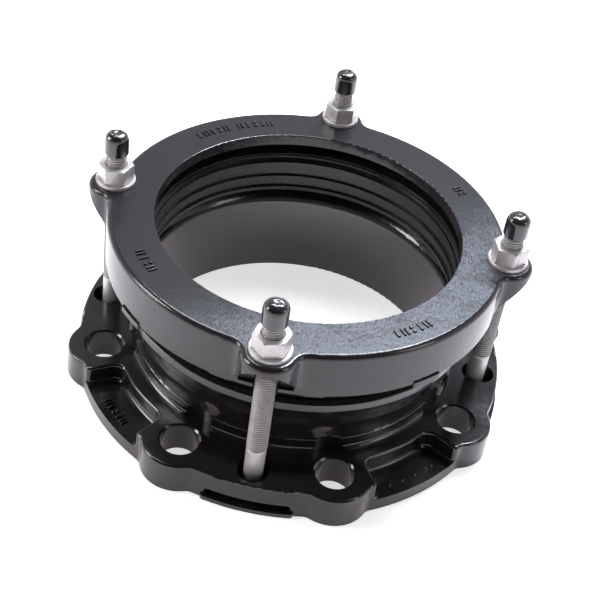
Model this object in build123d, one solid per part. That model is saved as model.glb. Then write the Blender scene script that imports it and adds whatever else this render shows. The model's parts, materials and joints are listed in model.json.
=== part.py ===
"""Flange adaptor: clamps a plain pipe end and bolts to a drilled pipe flange.

Millimetres. The origin is the centre of the mating face, with +Z towards the pipe.
The studs stand on the X and Y axes, and the bolt holes lie evenly between them.
"""

from build123d import *

import os
from math import asin, degrees, hypot, radians, sin, tan

# Bolting to the next flange: this drilling sets the width of the whole part
BOLT_CIRCLE = 240.0
BOLT_COUNT = 8
BOLT_HOLE = 23.0
HOLE_ROUND = 1.0
SPOT_FACE_MARGIN = 8.8

# Flange plate
FLANGE_THICKNESS = 20.0
WEB_THICKNESS = 8.5
LOBE_WALL = 11.0
LOBE_PROUD = 7.5
LOBE_BLEND = 7.0
PAD_ROUND = 1.8
RIM_CORNER = 3.0
POCKET_INSET = 6.8
POCKET_BITE = 1.7
POCKET_CORNER = 6.0
POCKET_FOOT = 2.5
POCKET_DRAFT = 2.0
PLATE_DRAFT = 1.0

# End ring, outside to inside
RING_BASE = 81.3
RING_HEIGHT = 29.5
RING_OVER_STUDS = 0.2
RING_ROUND = 3.2
SKIRT_WALL = 8.9
SKIRT_DEPTH = 3.6
RING_LIP = 7.6
LIP_OVERLAP = 7.0
LUG_MARGIN = 4.0
LUG_BLEND = 8.0
LUG_FOOT = 6.4
LUG_NOSE_DROP = 4.2
RECESS_MARGIN = 0.5
RECESS_HEIGHT = 3.3
RECESS_DEPTH = 4.7
TAB_WIDTH = 19.0
TAB_DROP = 1.6
TAB_ROUND = 1.0

# Hub, from the rim down and inwards to the bore
RIM_CLEARANCE = 1.1
RIM_TOP = 65.0
RIM_LAND = 5.0
RIM_DEPTH = 5.1
SEAT_WIDTH = 9.2
SEAT_DEPTH = 8.1
SEAT_ROUND = 8.0
BORE_STEP = 3.5
HUB_WALL = 4.8
HUB_ROOT = 8.0
NECK_HEIGHT = 10.3
NECK_ROUND = 25.0
COLLAR_HEIGHT = 8.7
COLLAR_STEP = 1.1
COLLAR_FOOT = 3.5

# Gasket, fitted to the seat below it and the cone above it
CREST_REACH = 0.7
TOOTH_DEPTH = 1.5
GROOVE_DEPTH = 3.3
GROOVE_START = 1.2
GROOVE_HEIGHT = 2.0
CHIN_SET_BACK = 1.0
GASKET_HEEL = 3.6
GASKET_BELLY = 1.6
BELLY_HEIGHT = 8.1
CONE_GAP = 0.3
CONE_TOP_GAP = 5.7
RIB_TOPS = (1.0, 0.76, 0.40, 0.11)
CHIN_RISE = 1.2

# Studs, nuts, washers and end caps
STUD_DIAMETER = 12.0
PLAIN_SHANK = 32.8
SHANK_RELIEF = 0.15
TIP_CHAMFER = 1.2
STUD_OVER_NUT = 18.8
NUT_FLATS = 19.0
NUT_HEIGHT = 10.2
NUT_CHAMFER_ANGLE = 30.0
NUT_TURNS = {"front": -74.0, "right": -73.0, "rear": -68.0, "left": -109.0}
NUT_CLEARANCE = 0.1
WASHER_DIAMETER = 24.0
WASHER_CLEARANCE = 0.5
WASHER_THICKNESS = 2.5
STUD_HOLE_CLEARANCE = 1.0
CAP_WALL = 1.2
CAP_HEIGHT = 14.2
CAP_TOP_THICKNESS = 1.6
CAP_TOP_ROUND = 2.6
CAP_CLEARANCE = 0.1
CAP_LIFT = {"front": 0.4, "right": 1.2, "rear": 3.5, "left": 1.4}

# Anchor plates and their slots in the flange
PLATE_LENGTH = 44.0
PLATE_WIDTH = 17.0
PLATE_ROUND = 2.0
PLATE_CLEARANCE = 0.3
SIDE_SLOT_FLOOR = 3.0
SIDE_SLOT_HEIGHT = 5.0
SIDE_SLOT_MARGIN = 7.0
STUD_SLOT_MARGIN = 6.0
STUD_SLOT_STRETCH = 2.5
SLOT_OFFSET = 1.5
LIP_REACH = 1.8
LIP_MARGIN = 5.0
LIP_ROUND = 2.5

# Sizes that follow from the ones above
STUD_PLACE = BOLT_CIRCLE / 2
STUD_RADIUS = STUD_DIAMETER / 2
LOBE_RADIUS = BOLT_HOLE / 2 + LOBE_WALL
EDGE_RADIUS = BOLT_CIRCLE / 2 + LOBE_RADIUS - LOBE_PROUD
POCKET_WALL_RADIUS = BOLT_CIRCLE / 2 - POCKET_INSET
HOLE_PITCH = 360 / BOLT_COUNT
RING_TOP = RING_BASE + RING_HEIGHT
LIP_BASE = RING_TOP - RING_LIP
RING_RADIUS = STUD_PLACE + RING_OVER_STUDS
SKIRT_BORE = RING_RADIUS - SKIRT_WALL
RIM_RADIUS = SKIRT_BORE - RIM_CLEARANCE
SEAT_RADIUS = RIM_RADIUS - RIM_LAND
BORE_RADIUS = SEAT_RADIUS - SEAT_WIDTH
BORE_TOP = RIM_TOP - SEAT_DEPTH
SOCKET_RADIUS = BORE_RADIUS - BORE_STEP
CONE_FOOT = RING_BASE + SKIRT_DEPTH
CONE_FOOT_RADIUS = SKIRT_BORE - SKIRT_DEPTH
CONE_TOP_RADIUS = SOCKET_RADIUS + LIP_OVERLAP
NECK_RADIUS = BORE_RADIUS + HUB_WALL
COLLAR_RADIUS = NECK_RADIUS + COLLAR_STEP
COLLAR_TOP = FLANGE_THICKNESS + COLLAR_HEIGHT
LUG_RADIUS = WASHER_DIAMETER / 2 + LUG_MARGIN
PLATE_THICKNESS = SIDE_SLOT_HEIGHT - 2 * PLATE_CLEARANCE
STUD_FOOT = SIDE_SLOT_FLOOR + PLATE_CLEARANCE
NUT_SEAT = RING_TOP + WASHER_THICKNESS
STUD_TIP = NUT_SEAT + NUT_HEIGHT + STUD_OVER_NUT
STUD_LENGTH = STUD_TIP - STUD_FOOT
SIDE_SLOT_WIDTH = PLATE_LENGTH + SIDE_SLOT_MARGIN
BASE = (Align.CENTER, Align.CENTER, Align.MIN)
PLACES = {"front": -90.0, "right": 0.0, "rear": 90.0, "left": 180.0}


def turned(corners):
    """Solid of revolution about Z from (radius, height, corner round) points."""
    edges = []
    starts, middles, ends = [], [], []
    for i, (x, z, size) in enumerate(corners):
        here = Vector(x, 0, z)
        x_before, z_before, _ = corners[i - 1]
        x_after, z_after, _ = corners[(i + 1) % len(corners)]
        back = (Vector(x_before, 0, z_before) - here).normalized()
        ahead = (Vector(x_after, 0, z_after) - here).normalized()
        half = radians(back.get_angle(ahead) / 2)
        bisector = (back + ahead).normalized()
        starts.append(here + back * (size / tan(half)))
        ends.append(here + ahead * (size / tan(half)))
        middles.append(here + bisector * (size / sin(half) - size))
    for i, (_, _, size) in enumerate(corners):
        if size > 0:
            edges.append(ThreePointArc(starts[i], middles[i], ends[i]))
        edges.append(Line(ends[i], starts[(i + 1) % len(corners)]))
    return revolve(make_face(edges), axis=Axis.Z)


def placed(shape, radius, angle, height=0.0):
    """Shape drawn at the origin facing +X, moved out along the given angle."""
    return Rot(0, 0, angle) * Pos(radius, 0, height) * shape


def pie(radius, spread):
    """Sector of a disc about +X, reaching half the spread to each side."""
    arc = CenterArc((0, 0), radius, -spread / 2, spread)
    return make_face([Line((0, 0), arc @ 0), arc, Line(arc @ 1, (0, 0))])


def band(inner, outer, width, corner):
    """Piece of a flat ring about +X, with its two outer corners rounded."""
    spread = 2 * degrees(asin(width / 2 / outer))
    sector = pie(outer, spread) - Circle(inner)
    tips = sector.vertices().sort_by(lambda v: v.X**2 + v.Y**2)[-2:]
    return fillet(tips, corner)


def flat_edges(shape, height, inside=0.0, outside=1000.0):
    """Edges of the shape that lie at one height, between two radii."""

    def wanted(edge):
        box = edge.bounding_box()
        middle = edge @ 0.5
        level = abs(box.min.Z - height) < 0.01 and abs(box.max.Z - height) < 0.01
        return level and inside < hypot(middle.X, middle.Y) < outside

    return shape.edges().filter_by(wanted)


def pocket():
    """Cutter for one shallow pocket of the flange, facing +X."""
    lobe = degrees(asin((LOBE_RADIUS - POCKET_BITE) / (BOLT_CIRCLE / 2)))
    spread = HOLE_PITCH - 2 * lobe
    plan = pie(BOLT_CIRCLE / 2 + 2 * LOBE_RADIUS, spread) - Circle(POCKET_WALL_RADIUS)
    corners = plan.vertices().sort_by(lambda v: v.X**2 + v.Y**2)[:2]
    plan = fillet(corners, POCKET_CORNER)
    depth = FLANGE_THICKNESS - WEB_THICKNESS
    return Pos(0, 0, WEB_THICKNESS) * extrude(plan, depth + 1, taper=-POCKET_DRAFT)


def plate():
    """Flange plate with its lobes, pockets and rounded edges, not yet drilled."""
    outline = Circle(EDGE_RADIUS)
    for i in range(BOLT_COUNT):
        outline += placed(Circle(LOBE_RADIUS), BOLT_CIRCLE / 2, (i + 0.5) * HOLE_PITCH)
    outline = fillet(outline.vertices(), LOBE_BLEND)
    solid = extrude(outline, FLANGE_THICKNESS, taper=PLATE_DRAFT)
    for angle in PLACES.values():
        solid -= Rot(0, 0, angle + HOLE_PITCH) * pocket()
    corners = solid.edges().filter_by(is_pocket_corner)
    solid = fillet(corners, RIM_CORNER)
    solid = fillet(flat_edges(solid, FLANGE_THICKNESS), PAD_ROUND)
    solid = fillet(flat_edges(solid, WEB_THICKNESS, outside=EDGE_RADIUS - 2.5), POCKET_FOOT)
    return solid


def is_pocket_corner(edge):
    """True for an upright edge where a pocket breaks out of the plate's rim."""
    box = edge.bounding_box()
    middle = edge @ 0.5
    tall = abs(box.min.Z - WEB_THICKNESS) < 0.01 and abs(box.max.Z - FLANGE_THICKNESS) < 0.01
    return tall and hypot(middle.X, middle.Y) > EDGE_RADIUS - 3 and box.size.X < 3


def hub():
    """Bored hub with its collar, waisted neck and flared seat for the gasket."""
    base = NECK_RADIUS + HUB_ROOT
    flare_start = COLLAR_TOP + NECK_HEIGHT
    return turned(
        [
            (BORE_RADIUS, 0, 1.0),
            (base, 0, 0),
            (base, FLANGE_THICKNESS, 0),
            (COLLAR_RADIUS, FLANGE_THICKNESS, COLLAR_FOOT),
            (COLLAR_RADIUS, COLLAR_TOP, 0.9),
            (NECK_RADIUS, COLLAR_TOP, 0),
            (NECK_RADIUS, flare_start, NECK_ROUND),
            (RIM_RADIUS, RIM_TOP - RIM_DEPTH, 1.5),
            (RIM_RADIUS, RIM_TOP, 0.8),
            (SEAT_RADIUS, RIM_TOP, 0.8),
            (BORE_RADIUS, BORE_TOP, SEAT_ROUND),
        ]
    )


def flange_body():
    """The flange casting: plate, hub, lips, bolt holes and anchor slots."""
    solid = plate() - Cylinder(BORE_RADIUS + 2, 3 * FLANGE_THICKNESS)
    lip = band(STUD_PLACE, EDGE_RADIUS + LIP_REACH, SIDE_SLOT_WIDTH + LIP_MARGIN, LIP_ROUND)
    lip = extrude(lip, SIDE_SLOT_FLOOR)
    slot_width = STUD_DIAMETER + STUD_SLOT_MARGIN
    slot_length = slot_width + STUD_SLOT_STRETCH
    slot_floor = STUD_PLACE + SLOT_OFFSET - slot_length / 2
    slot_reach = EDGE_RADIUS + 2 * LIP_REACH - slot_floor
    side_slot = extrude(Plane.YZ * SlotOverall(SIDE_SLOT_WIDTH, SIDE_SLOT_HEIGHT), slot_reach)
    stud_slot = extrude(SlotOverall(slot_length, slot_width), FLANGE_THICKNESS)
    slot_middle = SIDE_SLOT_FLOOR + SIDE_SLOT_HEIGHT / 2
    for angle in PLACES.values():
        solid += placed(lip, 0, angle)
    solid += hub()
    spot_depth = COLLAR_HEIGHT + 1.5
    spot_face = extrude(Circle(BOLT_HOLE / 2 + SPOT_FACE_MARGIN), spot_depth)
    bolt_hole = extrude(Circle(BOLT_HOLE / 2), FLANGE_THICKNESS)
    mouth = Cone(BOLT_HOLE / 2, BOLT_HOLE / 2 + HOLE_ROUND, HOLE_ROUND)
    mouth_height = FLANGE_THICKNESS - HOLE_ROUND / 2
    for i in range(BOLT_COUNT):
        angle = (i + 0.5) * HOLE_PITCH
        solid -= placed(spot_face, BOLT_CIRCLE / 2, angle, FLANGE_THICKNESS)
        solid -= placed(bolt_hole, BOLT_CIRCLE / 2, angle)
        solid -= placed(mouth, BOLT_CIRCLE / 2, angle, mouth_height)
    for angle in PLACES.values():
        solid -= placed(side_slot, slot_floor, angle, slot_middle)
        solid -= placed(stud_slot, STUD_PLACE + SLOT_OFFSET, angle, slot_middle)
    return solid


def ring_section():
    """Turned body of the end ring: lip, cone for the gasket and skirt."""
    return turned(
        [
            (SOCKET_RADIUS, LIP_BASE, 0.6),
            (CONE_TOP_RADIUS, LIP_BASE, 0.6),
            (CONE_FOOT_RADIUS, CONE_FOOT, 0.6),
            (SKIRT_BORE, CONE_FOOT, 0.6),
            (SKIRT_BORE, RING_BASE, 0.8),
            (RING_RADIUS, RING_BASE, 1.0),
            (RING_RADIUS, RING_TOP, 0),
            (SOCKET_RADIUS, RING_TOP, 0.8),
        ]
    )


def lug():
    """One stud lug facing +X, blended to the ring and cut away under its nose."""
    plan = Circle(RING_RADIUS) + placed(Circle(LUG_RADIUS), STUD_PLACE, 0)
    plan = fillet(plan.vertices(), LUG_BLEND)
    reach = 4 * LUG_RADIUS
    plan &= placed(Rectangle(reach, reach), STUD_PLACE, 0)
    plan -= Circle(RING_RADIUS - SKIRT_WALL / 2)
    block = Pos(0, 0, RING_BASE) * extrude(plan, RING_HEIGHT)
    nose = STUD_PLACE + LUG_RADIUS
    foot_height = RING_BASE + LUG_FOOT
    nose_height = RING_TOP - LUG_NOSE_DROP
    slope = (nose_height - foot_height) / (nose - RING_RADIUS)
    inner, outer = RING_RADIUS - 2, nose + 4
    under = Polyline(
        (inner, 0, RING_BASE - 1),
        (outer, 0, RING_BASE - 1),
        (outer, 0, nose_height + slope * (outer - nose)),
        (inner, 0, foot_height - slope * (RING_RADIUS - inner)),
        close=True,
    )
    return block - extrude(make_face(under), reach, dir=(0, 1, 0), both=True)


def end_ring():
    """The end ring casting: four lugs, recesses, tabs and stud holes."""
    tab = band(RING_RADIUS - 5, RING_RADIUS + TAB_ROUND, TAB_WIDTH, TAB_ROUND)
    tab = extrude(tab, TAB_DROP + 2)
    recess = Box(2 * RECESS_DEPTH, 2 * (LUG_RADIUS - RECESS_MARGIN), RECESS_HEIGHT)
    recess_middle = RING_BASE + LUG_FOOT - RECESS_HEIGHT / 2
    stud_hole = extrude(Circle(STUD_RADIUS + STUD_HOLE_CLEARANCE), RING_HEIGHT + 2)
    solid = ring_section()
    for angle in PLACES.values():
        solid += Rot(0, 0, angle) * lug()
    solid = fillet(flat_edges(solid, RING_TOP, inside=RING_RADIUS - 5), RING_ROUND)
    for angle in PLACES.values():
        solid += placed(tab, 0, angle + 45, RING_BASE - TAB_DROP)
        solid -= placed(recess, RING_RADIUS, angle, recess_middle)
        solid -= placed(stud_hole, STUD_PLACE, angle, RING_BASE - 1)
    return solid


def gasket():
    """The rubber ring: four ribs inside, one cone for each casting outside."""
    crest = SOCKET_RADIUS + CREST_REACH
    root = crest + TOOTH_DEPTH
    groove = crest + GROOVE_DEPTH
    seat_slope = SEAT_WIDTH / SEAT_DEPTH
    cone_slope = (CONE_FOOT_RADIUS - CONE_TOP_RADIUS) / (LIP_BASE - CONE_FOOT)
    heel = RIM_TOP - GASKET_HEEL
    heel_radius = SEAT_RADIUS - seat_slope * GASKET_HEEL
    seat_end = RIM_TOP - CONE_GAP
    shoulder_radius = CONE_FOOT_RADIUS - CONE_GAP
    top = LIP_BASE - CONE_TOP_GAP * 1.25
    bottom = RIM_TOP + CHIN_RISE
    corners = [
        (crest, top, 0.3),
        (shoulder_radius - cone_slope * (top - CONE_FOOT), top, 0.6),
        (shoulder_radius, CONE_FOOT, 2.0),
        (shoulder_radius + GASKET_BELLY, RIM_TOP + BELLY_HEIGHT, 3.0),
        (SEAT_RADIUS - seat_slope * CONE_GAP, seat_end, 0.8),
        (heel_radius, heel, 0.8),
        (crest + CHIN_SET_BACK, bottom, 0.6),
    ]
    for share in reversed(RIB_TOPS[1:]):
        rib = bottom + share * (top - bottom)
        corners.append((crest, rib, 0.2))
        corners.append((root, rib, 0.2))
    corners.append((groove, rib + GROOVE_START, 0.4))
    corners.append((groove, rib + GROOVE_START + GROOVE_HEIGHT, 0.4))
    return turned(corners)


def stud():
    """One stud standing on its foot, with a plain shank below the thread."""
    shank = Cylinder(STUD_RADIUS - SHANK_RELIEF, PLAIN_SHANK, align=BASE)
    foot = Cylinder(STUD_RADIUS, PLATE_THICKNESS, align=BASE)
    thread = Cylinder(STUD_RADIUS, STUD_LENGTH - PLAIN_SHANK, align=BASE)
    thread = Pos(0, 0, PLAIN_SHANK) * chamfer(thread.edges().group_by(Axis.Z)[-1], TIP_CHAMFER)
    return Pos(0, 0, STUD_FOOT) * (foot + shank + thread)


def anchor_plate():
    """Tapped plate that holds the foot of a stud, with rounded ends."""
    plan = RectangleRounded(PLATE_WIDTH, PLATE_LENGTH, PLATE_ROUND)
    hole = Circle(STUD_RADIUS + NUT_CLEARANCE)
    return Pos(0, 0, STUD_FOOT) * extrude(plan - hole, PLATE_THICKNESS)


def washer():
    """Flat washer lying on a lug."""
    plan = Circle(WASHER_DIAMETER / 2) - Circle(STUD_RADIUS + WASHER_CLEARANCE)
    return Pos(0, 0, RING_TOP) * extrude(plan, WASHER_THICKNESS)


def nut():
    """Hexagon nut with both faces chamfered, standing on its washer."""
    corner = NUT_FLATS / 2 / sin(radians(60))
    drop = (corner - NUT_FLATS / 2) * tan(radians(NUT_CHAMFER_ANGLE))
    hexagon = extrude(RegularPolygon(corner, 6), NUT_HEIGHT)
    envelope = turned(
        [
            (0, 0, 0),
            (NUT_FLATS / 2, 0, 0),
            (corner + 0.1, drop, 0),
            (corner + 0.1, NUT_HEIGHT - drop, 0),
            (NUT_FLATS / 2, NUT_HEIGHT, 0),
            (0, NUT_HEIGHT, 0),
        ]
    )
    bore = Cylinder(STUD_RADIUS + NUT_CLEARANCE, NUT_HEIGHT, align=BASE)
    return Pos(0, 0, NUT_SEAT) * ((hexagon & envelope) - bore)


def cap(lift):
    """Push-on cap with a domed, dimpled top, reaching down over the stud tip."""
    hollow = STUD_RADIUS + CAP_CLEARANCE
    outside = hollow + CAP_WALL
    roof = CAP_HEIGHT - CAP_TOP_THICKNESS
    solid = turned(
        [
            (0, roof, 0),
            (hollow, roof, 0.6),
            (hollow, 0, 0),
            (outside, 0, 0.4),
            (outside, CAP_HEIGHT, CAP_TOP_ROUND),
            (0, CAP_HEIGHT, 0),
        ]
    )
    return Pos(0, 0, STUD_TIP + lift - roof) * solid


def main():
    """Build every piece and write each to its own file."""
    parts = {"flange_body": flange_body(), "end_ring": end_ring(), "gasket": gasket()}
    for name, angle in PLACES.items():
        turned_nut = Rot(0, 0, NUT_TURNS[name]) * nut()
        parts["stud_" + name] = placed(stud(), STUD_PLACE, angle)
        parts["anchor_plate_" + name] = placed(anchor_plate(), STUD_PLACE, angle)
        parts["washer_" + name] = placed(washer(), STUD_PLACE, angle)
        parts["nut_" + name] = placed(turned_nut, STUD_PLACE, angle)
        parts["cap_" + name] = placed(cap(CAP_LIFT[name]), STUD_PLACE, angle)
    os.makedirs("parts", exist_ok=True)
    for name, shape in parts.items():
        shape.label = name
        export_step(shape, "parts/" + name + ".step")


main()
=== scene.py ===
# %% [markdown]
# # Dressing a flange adaptor
#
# A flange adaptor joins a plain pipe end to a drilled flange. Four studs pull an end ring down
# onto a rubber gasket, and the gasket grips the pipe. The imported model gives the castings, the
# gasket and the fasteners their shapes. This scene adds the camera, a plain studio, procedural
# finishes, and details too fine for the solids, such as screw threads and dipped plastic caps.

import json
from math import cos, pi, radians, sin

import bmesh
import bpy
from mathutils import Matrix, Vector, noise
from mathutils.bvhtree import BVHTree


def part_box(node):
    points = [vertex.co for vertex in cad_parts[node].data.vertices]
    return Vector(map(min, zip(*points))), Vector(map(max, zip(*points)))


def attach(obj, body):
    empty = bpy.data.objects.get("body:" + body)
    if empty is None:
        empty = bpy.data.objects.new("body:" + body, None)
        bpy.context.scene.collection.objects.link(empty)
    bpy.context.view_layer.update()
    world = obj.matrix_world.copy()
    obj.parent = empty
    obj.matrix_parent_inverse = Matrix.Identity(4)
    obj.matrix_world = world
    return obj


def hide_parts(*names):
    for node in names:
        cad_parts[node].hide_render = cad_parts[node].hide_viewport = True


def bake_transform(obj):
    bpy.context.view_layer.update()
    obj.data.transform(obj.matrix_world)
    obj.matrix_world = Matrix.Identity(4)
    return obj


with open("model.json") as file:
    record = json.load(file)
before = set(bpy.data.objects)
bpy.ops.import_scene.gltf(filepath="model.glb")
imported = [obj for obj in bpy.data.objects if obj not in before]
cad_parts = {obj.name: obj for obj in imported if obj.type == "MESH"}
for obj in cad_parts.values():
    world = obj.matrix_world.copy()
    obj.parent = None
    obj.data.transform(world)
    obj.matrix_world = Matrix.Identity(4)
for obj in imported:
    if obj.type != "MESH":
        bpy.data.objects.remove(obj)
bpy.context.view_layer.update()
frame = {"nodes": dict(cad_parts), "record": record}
MM = 0.001
PLACES = ("front", "right", "rear", "left")
print("nodes", len(frame["nodes"]))

# %% [markdown]
# ## Camera
#
# The photograph was taken from just right of the front stud, well above it and rolled a little
# to one side, from under a metre away. The camera is built from those angles: the direction
# back to the camera, a level pair of axes at right angles to it, and the roll between them.

# %% Camera
AZIMUTH = radians(4.597)
ELEVATION = radians(39.091)
ROLL = radians(8.939)
DISTANCE = 0.77964
TARGET = Vector((0, 0, 0.060))
SENSOR_WIDTH = 36
FOCAL_LENGTH = 74.88
PICTURE_SHIFT = (0.0011, -0.0244)


def photo_camera():
    back = Vector((sin(AZIMUTH) * cos(ELEVATION), -cos(AZIMUTH) * cos(ELEVATION), sin(ELEVATION)))
    level_right = Vector((cos(AZIMUTH), sin(AZIMUTH), 0))
    level_up = back.cross(level_right)
    right = cos(ROLL) * level_right + sin(ROLL) * level_up
    up = cos(ROLL) * level_up - sin(ROLL) * level_right
    turn = Matrix((right, up, back)).transposed().to_4x4()
    data = bpy.data.cameras.new("photo_camera")
    data.sensor_width = SENSOR_WIDTH
    data.lens = FOCAL_LENGTH
    data.shift_x, data.shift_y = PICTURE_SHIFT
    camera = bpy.data.objects.new("photo_camera", data)
    camera.matrix_world = Matrix.Translation(TARGET + back * DISTANCE) @ turn
    bpy.context.collection.objects.link(camera)
    bpy.context.scene.camera = camera


photo_camera()
bpy.context.scene.view_settings.view_transform = "Standard"
print("camera at", [round(v, 3) for v in bpy.context.scene.camera.location])

# %% [markdown]
# ## Writing materials as graphs
#
# Every finish here is a node tree. A short helper adds a node, fills its inputs with values or
# with links, and gives it back, so that a material reads as a few lines of plain arithmetic.


# %% Graph helper
class Graph:
    """Adds nodes to a tree and links their inputs."""

    def __init__(self, tree):
        self.tree = tree

    def feed(self, node, key, value):
        if isinstance(value, bpy.types.NodeSocket):
            self.tree.links.new(value, node.inputs[key])
        else:
            node.inputs[key].default_value = value

    def add(self, kind, values=None, **settings):
        node = self.tree.nodes.new(kind)
        for key, value in settings.items():
            setattr(node, key, value)
        for key, value in (values or {}).items():
            self.feed(node, key, value)
        return node

    def math(self, operation, first, second=0.0):
        return self.add("ShaderNodeMath", {0: first, 1: second}, operation=operation).outputs[0]

    def noise(self, where, scale, detail=2.0, roughness=0.5):
        values = {"Vector": where, "Scale": scale, "Detail": detail, "Roughness": roughness}
        return self.add("ShaderNodeTexNoise", values).outputs["Fac"]

    def length(self, vector):
        node = self.add("ShaderNodeVectorMath", {0: vector}, operation="LENGTH")
        return node.outputs["Value"]

    def span(self, value, low, high, to_low=0.0, to_high=1.0):
        """Ease from to_low, where value is low, to to_high, where it is high."""
        values = {"Value": value, 1: low, 2: high, 3: to_low, 4: to_high}
        node = self.add("ShaderNodeMapRange", values, interpolation_type="SMOOTHSTEP")
        return node.outputs["Result"]

    def mix(self, share, first, second):
        node = self.add("ShaderNodeMix", {0: share, 6: first, 7: second}, data_type="RGBA")
        return node.outputs[2]

    def bump(self, height, strength, distance):
        values = {"Height": height, "Strength": strength, "Distance": distance}
        return self.add("ShaderNodeBump", values).outputs[0]


def new_material(name):
    material = bpy.data.materials.new(name)
    material.use_nodes = True
    graph = Graph(material.node_tree)
    skin = material.node_tree.nodes["Principled BSDF"]
    where = graph.add("ShaderNodeTexCoord").outputs["Object"]
    return material, graph, skin, where


def grey(level):
    return (level, level, level, 1.0)


# %% [markdown]
# ## Studio
#
# Black gloss shows only what it mirrors, so the room is drawn for its reflections. The upright
# walls of the castings mirror the white floor. The ring's flat top mirrors the back of the room,
# which is grey and grows darker with height. Rounded edges mirror the dark side above and behind
# the camera. The world is therefore a gradient by direction, bright at the horizon. Seen by the
# camera itself it is plain white.

# %% World
# Each fade runs between two heights of a direction, 0 at the horizon and 1 straight up, and
# gives the brightness at both. The last runs from behind the camera to behind the object.
HORIZON_FADE = (0.08, 0.46, 1.15, 0.62)
CEILING_FADE = (0.48, 0.80, 1.0, 0.30)
LOW_BAND_FADE = (0.08, 0.36, 1.0, 0.0)
ROOM_FADE = (-0.60, 0.30, 0.05, 1.0)
TINT_HEIGHTS = (0.15, 0.60)
LOW_TINT = (1.0, 0.945, 0.97, 1)
HIGH_TINT = (0.90, 0.93, 1.0, 1)


def studio_world():
    world = bpy.data.worlds.new("studio")
    world.use_nodes = True
    bpy.context.scene.world = world
    graph = Graph(world.node_tree)
    world.node_tree.nodes.clear()
    way = graph.add("ShaderNodeTexCoord").outputs["Generated"]
    split = graph.add("ShaderNodeSeparateXYZ", {"Vector": way})
    height = split.outputs["Z"]
    horizon = graph.span(height, *HORIZON_FADE)
    ceiling = graph.span(height, *CEILING_FADE)
    depth = graph.span(split.outputs["Y"], *ROOM_FADE)
    depth = graph.math("MAXIMUM", depth, graph.span(height, *LOW_BAND_FADE))
    level = graph.math("MULTIPLY", graph.math("MULTIPLY", horizon, ceiling), depth)
    tint = graph.mix(graph.span(height, *TINT_HEIGHTS), LOW_TINT, HIGH_TINT)
    seen = graph.add("ShaderNodeLightPath").outputs["Is Camera Ray"]
    colour = graph.mix(seen, tint, grey(1.0))
    strength = graph.math("MAXIMUM", level, seen)
    glow = graph.add("ShaderNodeBackground", {"Color": colour, "Strength": strength})
    output = graph.add("ShaderNodeOutputWorld")
    world.node_tree.links.new(glow.outputs[0], output.inputs["Surface"])


studio_world()
print("world made")

# %% [markdown]
# One wide soft light, above and a little behind, gives the floor and the fasteners their
# brightness. A second, bluish one stands behind, a little above what the flat faces mirror: the
# gloss of the flange stays black under it, and only the front right of the ring's top, where the
# dust carries a painted sheen, catches its sheen. Two narrow lights at the sides draw thin lines
# along the edges and part the flats of the nuts.

# %% Lights
LIGHTS_AIM = Vector((0, 0, 0.08))


def soft_light(name, place, size, power, colour=(1, 1, 1)):
    data = bpy.data.lights.new(name, "AREA")
    data.shape = "RECTANGLE"
    data.size, data.size_y = size
    data.energy = power
    data.color = colour
    light = bpy.data.objects.new(name, data)
    aim = LIGHTS_AIM - Vector(place)
    turn = aim.to_track_quat("-Z", "Y").to_matrix().to_4x4()
    light.matrix_world = Matrix.Translation(place) @ turn
    bpy.context.collection.objects.link(light)


soft_light("top_light", place=(-0.05, 0.50, 1.25), size=(1.10, 0.40), power=15)
soft_light("back_light", place=(0.24, 0.80, 1.30), size=(0.50, 0.25), power=18,
           colour=(0.78, 0.87, 1.0))
soft_light("left_light", place=(-1.20, -0.30, 0.70), size=(0.40, 0.80), power=9)
soft_light("right_light", place=(1.20, -0.35, 0.80), size=(0.35, 0.70), power=2)
print("lights", len(bpy.data.lights))

# %% [markdown]
# The object stands on white paper. The paper glows, so that it is white in the picture without
# more light on the object, and it still takes the object's shadow. To the camera it brightens
# with distance until it meets the backdrop without a line. In mirrors it is dimmer and slightly
# pink, which gives the upright walls of the castings their tint.

# %% Floor
FLOOR_HALF = 6
FLOOR_DROP = 0.2 * MM
PAPER_DARK, PAPER_LIGHT = grey(0.90), grey(0.94)
MIRRORED_PAPER = (1.0, 0.90, 0.95, 1)
MIRRORED_GLOW = 0.42
# From 0.4 m to 1.5 m away, the glow that the camera sees rises from 0.66 to white
SEEN_GLOW = (0.4, 1.5, 0.66, 1.0)


def studio_floor():
    shape = bmesh.new()
    bmesh.ops.create_grid(shape, x_segments=1, y_segments=1, size=FLOOR_HALF)
    bmesh.ops.translate(shape, verts=shape.verts, vec=(0, 0, -FLOOR_DROP))
    mesh = bpy.data.meshes.new("floor")
    shape.to_mesh(mesh)
    shape.free()
    plane = bpy.data.objects.new("floor", mesh)
    bpy.context.collection.objects.link(plane)
    material, graph, skin, where = new_material("floor_paper")
    grain = graph.noise(where, 900, 3)
    graph.feed(skin, "Normal", graph.bump(grain, 0.04, 0.2 * MM))
    graph.feed(skin, "Base Color", graph.mix(grain, PAPER_DARK, PAPER_LIGHT))
    graph.feed(skin, "Roughness", 0.85)
    white = graph.span(graph.length(where), *SEEN_GLOW)
    seen = graph.add("ShaderNodeLightPath").outputs["Is Camera Ray"]
    graph.feed(skin, "Emission Color", graph.mix(seen, MIRRORED_PAPER, grey(1.0)))
    graph.feed(skin, "Emission Strength", graph.span(seen, 0.0, 1.0, MIRRORED_GLOW, white))
    mesh.materials.append(material)


studio_floor()
print("floor made")

# %% [markdown]
# ## The coated castings
#
# Both castings are ductile iron under a thick black coating. Three things show: slow waves left
# by the sand mould, orange peel a few millimetres across from the coating, and fine grain. They
# are one shader group, because both castings need them at different strengths.

# %% Coated skin group
WAVE_SCALE = 55
PEEL_SCALE = 280
GRAIN_SCALE = 1200


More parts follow.
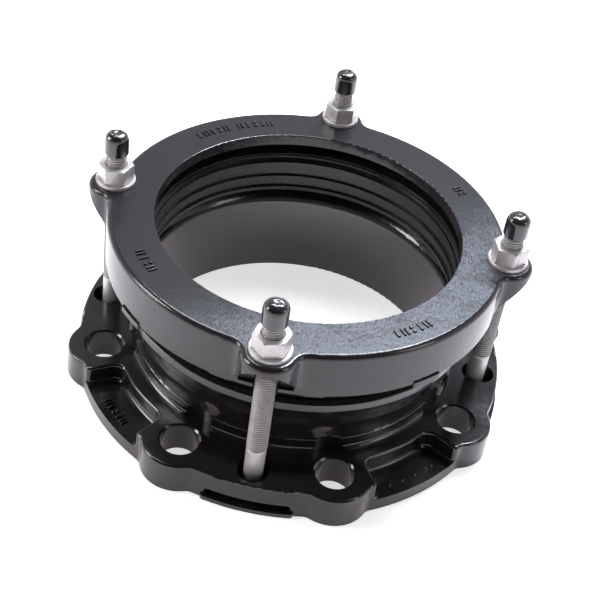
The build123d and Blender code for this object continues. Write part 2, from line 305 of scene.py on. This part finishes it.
def coated_skin_group():
    group = bpy.data.node_groups.new("coated_skin", "ShaderNodeTree")
    sockets = group.interface
    sockets.new_socket("Where", in_out="INPUT", socket_type="NodeSocketVector")
    for name in ("Waves", "Peel", "Grain"):
        sockets.new_socket(name, in_out="INPUT", socket_type="NodeSocketFloat")
    sockets.new_socket("Height", in_out="OUTPUT", socket_type="NodeSocketFloat")
    graph = Graph(group)
    given = graph.add("NodeGroupInput").outputs
    where = given["Where"]
    waves = graph.math("MULTIPLY", graph.noise(where, WAVE_SCALE, 1.0), given["Waves"])
    peel = graph.math("MULTIPLY", graph.noise(where, PEEL_SCALE, 1.5, 0.4), given["Peel"])
    grain = graph.math("MULTIPLY", graph.noise(where, GRAIN_SCALE, 3.0, 0.6), given["Grain"])
    height = graph.math("ADD", graph.math("ADD", waves, peel), grain)
    result = graph.add("NodeGroupOutput")
    group.links.new(height, result.inputs["Height"])
    return group


COATED_SKIN = coated_skin_group()


def skin_height(graph, where, waves, peel, grain):
    group = graph.add("ShaderNodeGroup", node_tree=COATED_SKIN)
    for key, value in (("Where", where), ("Waves", waves), ("Peel", peel), ("Grain", grain)):
        graph.feed(group, key, value)
    return group.outputs["Height"]


def clouds(graph, where):
    """Slow noise that keeps a coating's tone and gloss from being the same everywhere."""
    return graph.noise(where, 35, 3.0, 0.55)


CLOUD_ENDS = (0.3, 0.7)
SKIN_RELIEF = 0.6 * MM
print("group", COATED_SKIN.name)

# %% [markdown]
# The body is nearly pure gloss over black. A clear coat over the base doubles the mirror, as a
# thick baked coating does, and cloudy noise varies its roughness. The machined bore inside has
# only a thin, greyer film, picked out by its distance from the axis.

# %% Body finish
BODY_BLACKS = (0.008, 0.0065, 0.0075, 1), (0.013, 0.0105, 0.012, 1)
BORE_FILM = (0.057, 0.056, 0.060, 1)
BORE_EDGE = 96.5 * MM


def body_coating():
    material, graph, skin, where = new_material("body_coating")
    cloud = clouds(graph, where)
    black = graph.mix(cloud, *BODY_BLACKS)
    flat = graph.add("ShaderNodeMapping", {"Vector": where, "Scale": (1, 1, 0)}).outputs[0]
    bore = graph.span(graph.length(flat), BORE_EDGE, BORE_EDGE + MM, 1.0, 0.0)
    graph.feed(skin, "Base Color", graph.mix(bore, black, BORE_FILM))
    graph.feed(skin, "Roughness", graph.span(cloud, *CLOUD_ENDS, 0.13, 0.24))
    height = skin_height(graph, where, waves=1.3, peel=1.0, grain=0.03)
    graph.feed(skin, "Normal", graph.bump(height, 0.16, SKIN_RELIEF))
    graph.feed(skin, "Coat Weight", 0.6)
    graph.feed(skin, "Coat Roughness", 0.07)
    return material


BODY_COATING = body_coating()
print("finish", BODY_COATING.name)

# %% [markdown]
# The ring has the same coating, but its flat top was dressed on a coarse wheel before coating.
# It carries a grey film and short diagonal streaks of dust. Towards the front right the dust is
# painted paler and bluish, a painted sheen where the light falls, and only there do the streaks
# show. A mask picks out the top by its height and by the way it faces, so the edges stay clean
# gloss.

# %% Ring finish
RING_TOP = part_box("end_ring")[1][2]
WALL_BLACKS = (0.015, 0.0115, 0.0137, 1), (0.021, 0.0165, 0.0195, 1)
TOP_FILM = (0.012, 0.012, 0.0145, 1)
# Dust colour, paler and bluish: partly the dust's own tone, partly painted sheen
DUST_AND_SHEEN_GREY = (0.105, 0.114, 0.148, 1)
PAINTED_SHEEN_EDGE = (0.02, 0.12)
STREAK_SLANT = radians(38)
STREAK_STRETCH = (1.0, 0.42, 1.0)
STREAK_RELIEF = 1.6


def ring_coating():
    material, graph, skin, where = new_material("ring_coating")
    cloud = clouds(graph, where)
    wall = graph.mix(cloud, *WALL_BLACKS)
    wall_rough = graph.span(cloud, *CLOUD_ENDS, 0.12, 0.20)
    place = graph.add("ShaderNodeSeparateXYZ", {"Vector": where}).outputs
    normal = graph.add("ShaderNodeNewGeometry").outputs["Normal"]
    facing = graph.add("ShaderNodeSeparateXYZ", {"Vector": normal}).outputs["Z"]
    level = graph.span(place["Z"], RING_TOP - 0.8 * MM, RING_TOP - 0.2 * MM)
    top = graph.math("MULTIPLY", level, graph.span(facing, 0.97, 0.999))
    slant = graph.add("ShaderNodeMapping", {"Vector": where, "Scale": STREAK_STRETCH})
    slant.inputs["Rotation"].default_value = (0, 0, STREAK_SLANT)
    streaks = graph.noise(slant.outputs[0], 950, 3.0, 0.6)
    patches = graph.noise(where, 60, 3.0, 0.6)
    # Painted sheen: the dust is paler and bluish only towards the front right, where the light's
    # sheen falls
    front_right_sheen = graph.span(graph.math("SUBTRACT", place["X"], place["Y"]), *PAINTED_SHEEN_EDGE)
    dust_and_sheen_zone = graph.math("MULTIPLY", front_right_sheen, graph.span(patches, 0.20, 0.60))
    dust_and_sheen = graph.math("MULTIPLY", graph.span(streaks, 0.22, 0.76), dust_and_sheen_zone)
    film = graph.mix(dust_and_sheen, TOP_FILM, DUST_AND_SHEEN_GREY)
    graph.feed(skin, "Base Color", graph.mix(top, wall, film))
    top_rough = graph.span(dust_and_sheen, 0.0, 1.0, 0.27, 0.50)
    rough = graph.add("ShaderNodeMix", {0: top, 2: wall_rough, 3: top_rough}, data_type="FLOAT")
    graph.feed(skin, "Roughness", rough.outputs[0])
    relief = graph.math("MULTIPLY", graph.math("MULTIPLY", streaks, top), dust_and_sheen_zone)
    relief = graph.math("MULTIPLY", relief, STREAK_RELIEF)
    height = graph.math("ADD", skin_height(graph, where, waves=1.2, peel=0.9, grain=0.10), relief)
    graph.feed(skin, "Normal", graph.bump(height, 0.20, SKIN_RELIEF))
    graph.feed(skin, "Coat Weight", 0.12)
    graph.feed(skin, "Coat Roughness", 0.08)
    return material


RING_COATING = ring_coating()
print("finish", RING_COATING.name, "top at", round(RING_TOP, 4))

# %% [markdown]
# ## Rubber, steel and plastic
#
# The gasket is moulded rubber with a slight green cast and a bloom that comes and goes. The
# fasteners have a matt coating of pale flakes, rougher than zinc. The anchor plates are dark, as
# nothing pale shows in their slots. The caps are dipped plastic, glossy and a little wavy.

# %% Other finishes
TONE_ENDS = (0.35, 0.65)


def plain_finish(name, scale, dark, light, rough, relief, metallic=0.0, coat=0.0):
    """Two tones and two roughnesses mixed by one noise, with the same noise as relief."""
    material, graph, skin, where = new_material(name)
    slow = graph.noise(where, scale, 3.0, 0.6)
    fine = graph.noise(where, scale * 9, 3.0, 0.6)
    tone = graph.math("ADD", graph.math("MULTIPLY", slow, 0.6), graph.math("MULTIPLY", fine, 0.4))
    graph.feed(skin, "Base Color", graph.mix(graph.span(tone, *TONE_ENDS), (*dark, 1), (*light, 1)))
    graph.feed(skin, "Roughness", graph.span(tone, *TONE_ENDS, *rough))
    graph.feed(skin, "Normal", graph.bump(tone, *relief))
    graph.feed(skin, "Metallic", metallic)
    graph.feed(skin, "Coat Weight", coat)
    graph.feed(skin, "Coat Roughness", 0.06)
    return material


RUBBER = plain_finish(
    "moulded_rubber", 50, dark=(0.006, 0.0072, 0.0068), light=(0.011, 0.0130, 0.0124),
    rough=(0.24, 0.36), relief=(0.10, 0.3 * MM))
PALE_STEEL = plain_finish(
    "pale_coated_steel", 150, dark=(0.52, 0.49, 0.49), light=(0.68, 0.65, 0.648),
    rough=(0.30, 0.42), relief=(0.12, 0.2 * MM), metallic=0.50)
# Painted shade: a darker finish that stands in for the shade deep in a thread's groove
GROOVE_SHADE_PAINT = plain_finish(
    "thread_groove_painted_shade", 300, dark=(0.25, 0.24, 0.238), light=(0.36, 0.346, 0.342),
    rough=(0.50, 0.65), relief=(0.10, 0.2 * MM), metallic=0.1)
PLATE_STEEL = plain_finish(
    "dark_plate_steel", 200, dark=(0.030, 0.029, 0.028), light=(0.070, 0.068, 0.066),
    rough=(0.45, 0.60), relief=(0.15, 0.3 * MM), metallic=0.7)
DIPPED_PLASTIC = plain_finish(
    "dipped_plastic", 90, dark=(0.009, 0.0085, 0.009), light=(0.016, 0.015, 0.016),
    rough=(0.16, 0.24), relief=(0.10, 0.6 * MM), coat=1.0)
print("finishes", len(bpy.data.materials))

# %% [markdown]
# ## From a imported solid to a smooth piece
#
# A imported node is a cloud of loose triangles. A copy with its points merged can be shaded
# smoothly: edges sharper than a set angle stay crisp, and weighted normals keep the flat faces
# flat beside small fillets. A rigid piece rides on its node's body, and most pieces stand for
# their node.

# %% Piece helpers
MERGE_DISTANCE = 0.002 * MM


def body_of(node):
    bodies = frame["record"]["behaviour"]["bodies"]
    return next(body for body, nodes in bodies.items() if node in nodes)


def finished(shape, node, name, material, crisp, replaced=True, rigid=True):
    """Make a smooth object, with edges of more than crisp degrees kept sharp."""
    for face in shape.faces:
        face.smooth = True
    for edge in shape.edges:
        edge.smooth = len(edge.link_faces) != 2 or edge.calc_face_angle() < radians(crisp)
    mesh = bpy.data.meshes.new(name)
    shape.to_mesh(mesh)
    shape.free()
    mesh.materials.append(material)
    piece = bpy.data.objects.new(name, mesh)
    bpy.context.collection.objects.link(piece)
    piece.modifiers.new("flat_faces_flat", "WEIGHTED_NORMAL").keep_sharp = True
    if rigid:
        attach(piece, body_of(node))
    if replaced:
        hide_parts(node)
    print(name, "faces", len(mesh.polygons))
    return piece


def merged_copy(node):
    shape = bmesh.new()
    shape.from_mesh(frame["nodes"][node].data)
    bmesh.ops.remove_doubles(shape, verts=shape.verts, dist=MERGE_DISTANCE)
    return shape


# %% [markdown]
# ## Castings and gasket
#
# The solids of both castings and the gasket already have every fillet, pocket and rib, so smooth
# copies of them are enough. Fillets of a sand casting meet the walls without a line, and 28
# degrees keeps only real corners crisp. The anchor plates lie almost hidden in their slots, so
# those nodes stay as they are and only change their finish.

# %% Castings and gasket
CAST_CRISP = 28

finished(merged_copy("flange_body"), "flange_body", "flange_body_cast", BODY_COATING, CAST_CRISP)
finished(merged_copy("end_ring"), "end_ring", "end_ring_cast", RING_COATING, CAST_CRISP)
gasket = finished(
    merged_copy("gasket"), "gasket", "gasket_moulded", RUBBER, CAST_CRISP, rigid=False)
for place in PLACES:
    plate = frame["nodes"]["anchor_plate_" + place].data
    plate.materials.clear()
    plate.materials.append(PLATE_STEEL)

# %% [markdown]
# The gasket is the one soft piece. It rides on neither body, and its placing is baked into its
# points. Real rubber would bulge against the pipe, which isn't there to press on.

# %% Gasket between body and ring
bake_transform(gasket)

# %% [markdown]
# ## Nuts and washers
#
# A real nut has no knife edges: rolling and coating round them all, and a countersink opens its
# thread. The copy's flat faces are first dissolved from triangles to single faces, then its
# edges are bevelled. The bore's rims get a wider, flat bevel for the countersink.

# %% Nuts and washers
# How far from the axis the bore's rims lie at most, how wide their bevel is, and how wide the
# other edges' rounding is
NUT_EDGES = (6.3 * MM, 0.75 * MM, 0.28 * MM)
WASHER_EDGES = (6.8 * MM, 0.20 * MM, 0.45 * MM)
FASTENER_CRISP = 40


def edge_near_axis(edge, middle, reach):
    """True where both ends of an edge lie within reach of an upright axis."""
    return all((vert.co.xy - middle).length < reach for vert in edge.verts)


def sharp_edges(shape, degrees):
    return [edge for edge in shape.edges if edge.calc_face_angle(0) > radians(degrees)]


def bevelled(shape, edges, width, segments):
    bmesh.ops.bevel(shape, geom=edges, offset=width, segments=segments, profile=0.5,
                    affect="EDGES", material=-1)


def softened(node, middle, bore_reach, countersink, soft):
    shape = merged_copy(node)
    bmesh.ops.dissolve_limit(shape, angle_limit=radians(1), verts=shape.verts, edges=shape.edges)
    rims = [e for e in sharp_edges(shape, 60) if edge_near_axis(e, middle, bore_reach)]
    bevelled(shape, rims, countersink, 1)
    clear_of_rims = bore_reach + countersink * 1.2
    corners = [e for e in sharp_edges(shape, 20) if not edge_near_axis(e, middle, clear_of_rims)]
    bevelled(shape, corners, soft, 3)
    return shape


def middle_of(node):
    low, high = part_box(node)
    return Vector(((low[0] + high[0]) / 2, (low[1] + high[1]) / 2))


for place in PLACES:
    middle = middle_of("stud_" + place)
    nut = softened("nut_" + place, middle, *NUT_EDGES)
    finished(nut, "nut_" + place, "nut_%s_rolled" % place, PALE_STEEL, FASTENER_CRISP)
    washer = softened("washer_" + place, middle, *WASHER_EDGES)
    finished(washer, "washer_" + place, "washer_%s_punched" % place, PALE_STEEL, FASTENER_CRISP)

# %% [markdown]
# ## Studs
#
# Each stud is M12 with a rolled thread of 1.75 mm pitch above a plain shank. Blender's spin can
# climb as it turns: one pitch of the thread's outline is swept round once with a rise of one
# pitch. That turn is then copied upwards, and its bottom edge falls exactly on the top edge of
# the turn below, so merging the doubles closes the seam. A plain core inside closes the ends.
# The root of the thread gets a darker finish, painted shade in the groove, which is what makes a
# thread show from afar.

# %% Thread
PITCH = 1.75 * MM
CREST = 6.0 * MM
ROOT = 5.05 * MM
SHOULDER = CREST - 0.10 * MM
# Radius, and share of the pitch above the turn's foot
THREAD_FORM = (
    (ROOT, 0), (ROOT, 0.16), (SHOULDER, 0.46), (CREST, 0.52), (CREST, 0.64), (SHOULDER, 0.70),
    (ROOT, 1),
)
RUN_OUT = 1.2 * PITCH
STUD_SIDES = 40
SEAM_DISTANCE = 0.003 * MM


def spun(shape, outline, middle, rise=0.0, sides=STUD_SIDES):
    """Sweep (radius, height) points once round an upright axis, climbing by rise."""
    points = [shape.verts.new((middle.x + r, middle.y, z)) for r, z in outline]
    lines = [shape.edges.new(pair) for pair in zip(points, points[1:])]
    bmesh.ops.spin(
        shape, geom=points + lines, cent=(middle.x, middle.y, 0), axis=(0, 0, 1),
        dvec=(0, 0, rise / sides), angle=2 * pi, steps=sides, use_merge=False)
    bmesh.ops.remove_doubles(shape, verts=shape.verts, dist=SEAM_DISTANCE)


def thread(shape, middle, start, end):
    turns = int((end - start) / PITCH) - 1
    outline = [(radius, start + share * PITCH) for radius, share in THREAD_FORM]
    spun(shape, outline, middle, PITCH)
    first_turn = shape.verts[:] + shape.edges[:] + shape.faces[:]
    for turn in range(1, turns):
        copy = bmesh.ops.duplicate(shape, geom=first_turn)["geom"]
        verts = [item for item in copy if isinstance(item, bmesh.types.BMVert)]
        bmesh.ops.translate(shape, verts=verts, vec=(0, 0, turn * PITCH))
    bmesh.ops.remove_doubles(shape, verts=shape.verts, dist=SEAM_DISTANCE)
    # The second finish, darker painted shade, goes on the faces in the groove
    for face in shape.faces:
        away = face.calc_center_median().xy - middle
        face.material_index = int(away.length < (ROOT + CREST) / 2)
    # Both ends of the thread run out into the core
    for vert in shape.verts:
        away = vert.co.xy - middle
        near_end = min(vert.co.z - start, end - vert.co.z) / RUN_OUT
        if near_end < 1:
            reach = ROOT + (away.length - ROOT) * max(0.0, near_end)
            vert.co.xy = middle + away * (reach / away.length)


# %% Studs
SHANK = 5.85 * MM
SHANK_LENGTH = 32.8 * MM
SHANK_CHAMFER = 0.5 * MM
CORE = ROOT + 0.01 * MM
STUD_CRISP = 50


def rolled_stud(place):
    node = "stud_" + place
    middle = middle_of(node)
    foot, tip = (corner[2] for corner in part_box(node))
    start = foot + SHANK_LENGTH
    shape = bmesh.new()
    thread(shape, middle, start - 0.4 * PITCH, tip - 0.3 * MM)
    core = [
        (0, foot), (SHANK - SHANK_CHAMFER, foot), (SHANK, foot + SHANK_CHAMFER), (SHANK, start),
        (SHANK - 0.25 * MM, start + 0.5 * MM), (CORE, start + 1.5 * MM),
        (CORE, tip - 0.4 * MM), (ROOT - 0.4 * MM, tip), (0, tip),
    ]
    spun(shape, core, middle)
    bmesh.ops.recalc_face_normals(shape, faces=shape.faces)
    piece = finished(shape, node, node + "_rolled", PALE_STEEL, STUD_CRISP)
    # The darker second finish is painted shade for the groove of the thread
    piece.data.materials.append(GROOVE_SHADE_PAINT)


for place in PLACES:
    rolled_stud(place)

# %% [markdown]
# ## End caps
#
# Each cap is dipped soft plastic. It shrinks as it cools, so its top is a dome with a shallow,
# puckered dimple in it, different on every cap, and its rim is a soft bead. The outline is spun,
# and then the points of the outer skin are moved by noise, more towards the top.

# %% Caps
CAP_SIDES = 64
CAP_CRISP = 60
# All in millimetres: the inner wall, the height of the dome, and over what height noise sets in
CAP_INNER_RADIUS = 6.15
CAP_DOME = 4.0
CAP_FADE = 3.0


def cap_outline(foot, top):
    """Radius and height in millimetres, from inside the top, down the wall and up again."""
    inner = [(0, top - 1.5), (4.7, top - 1.5), (5.7, top - 2.5), (6.05, top - 3.5)]
    rim = [(6.10, foot + 0.7), (6.35, foot), (6.9, foot), (7.2, foot + 0.3), (7.3, foot + 0.8)]
    wall = [(7.28, foot + 4), (7.22, top - 5.4), (7.12, top - 4.2), (6.90, top - 3.1)]
    shoulder = [(6.52, top - 2.2), (5.95, top - 1.45), (5.2, top - 0.85), (4.4, top - 0.42)]
    crown = [(3.5, top - 0.12), (2.7, top), (2.1, top - 0.04), (1.5, top - 0.22)]
    dimple = [(0.9, top - 0.40), (0, top - 0.48)]
    return inner + rim + wall + shoulder + crown + dimple


def pucker(place, away):
    """How far, in millimetres, the skin rises at a place on a cap's top."""
    seed = Vector((7.3 * PLACES.index(place), 1.9, 0.4))
    flat = Vector((away.x, away.y, 0))
    swell = noise.noise(flat * 0.34 + seed)
    fold = abs(noise.noise(flat * 0.62 + seed * 2))
    return 0.30 * swell - 0.16 * fold - 0.14


def dipped_cap(place):
    node = "cap_" + place
    middle = middle_of(node)
    foot, top = (corner[2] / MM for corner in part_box(node))
    outline = [(radius * MM, height * MM) for radius, height in cap_outline(foot, top)]
    shape = bmesh.new()
    spun(shape, outline, middle, sides=CAP_SIDES)
    bmesh.ops.recalc_face_normals(shape, faces=shape.faces)
    for vert in shape.verts:
        away = (vert.co.xy - middle) / MM
        rise = (vert.co.z / MM - (top - CAP_DOME)) / CAP_FADE
        ceiling = (top - 1.49 + 0.09 * (4.8 - away.length)) * MM
        inside = away.length < CAP_INNER_RADIUS and vert.co.z < ceiling
        if rise > 0 and not inside:
            vert.co.z += min(1.0, rise) * pucker(place, away) * MM
    finished(shape, node, node + "_dipped", DIPPED_PLASTIC, CAP_CRISP)


for place in PLACES:
    dipped_cap(place)

# %% [markdown]
# ## Cast marks
#
# The real castings carry raised letters. In their place are plain foundry marks that say
# nothing: short bars and round pips, about a millimetre proud, with softened edges. A ray cast
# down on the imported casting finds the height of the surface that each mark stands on.


# %% Cast marks
def surface_below(node):
    shape = merged_copy(node)
    tree = BVHTree.FromBMesh(shape)
    shape.free()
    return lambda x, y: tree.ray_cast(Vector((x, y, 0.2)), Vector((0, 0, -1)))[0].z


# For each block of a mark: its place out from and along the row, and its two lengths, as shares
# of the mark's size
MARK_BLOCKS = {
    "I": [(0, 0, 1, 0.28)],
    ":": [(-0.30, 0, 0.34, 0.34), (0.30, 0, 0.34, 0.34)],
    "=": [(0, -0.22, 1, 0.22), (0, 0.22, 1, 0.22)],
    "o": [(0, 0, 0.52, 0.52)],
}
MARK_STEP = 0.88
MARK_HEIGHT = 2.3 * MM
MARK_ROUNDING = 0.36 * MM
MARK_CRISP = 60


def cast_marks(name, node, material, angle, pattern, radius, size, sunk):
    """A row of marks along an arc, centred on an angle in degrees."""
    shape = bmesh.new()
    height_at = surface_below(node)
    step = size * MARK_STEP / radius
    for index, kind in enumerate(pattern):
        turn = Matrix.Rotation(radians(angle) + (index - (len(pattern) - 1) / 2) * step, 4, "Z")
        for out, along, long, wide in MARK_BLOCKS.get(kind, []):
            spot = turn @ Vector((radius + out * size, along * size, 0))
            spot.z = height_at(spot.x, spot.y) - sunk
            scale = Matrix.Diagonal((long * size, wide * size, MARK_HEIGHT, 1))
            stand = Matrix.Translation(spot) @ turn @ scale
            if kind == "o":
                bmesh.ops.create_uvsphere(
                    shape, u_segments=20, v_segments=12, radius=0.5, matrix=stand)
                continue
            made = bmesh.ops.create_cube(shape, size=1, matrix=stand)
            edges = list({edge for vert in made["verts"] for edge in vert.link_edges})
            bevelled(shape, edges, MARK_ROUNDING, 3)
    finished(shape, node, name, material, MARK_CRISP, replaced=False)


RING_ROWS = ((128, "=I:I= =:I=I"), (220, "=I:="), (36, ":="), (312, "I=:I="))
FLANGE_ROWS = ((225, "=I:I="), (315, "o o o oo"))
for number, row in enumerate(RING_ROWS, 1):
    cast_marks("ring_marks_%d" % number, "end_ring", RING_COATING, *row,
               radius=107.0 * MM, size=5.8 * MM, sunk=0.15 * MM)
for number, row in enumerate(FLANGE_ROWS, 1):
    cast_marks("flange_marks_%d" % number, "flange_body", BODY_COATING, *row,
               radius=127.5 * MM, size=5.2 * MM, sunk=0.05 * MM)
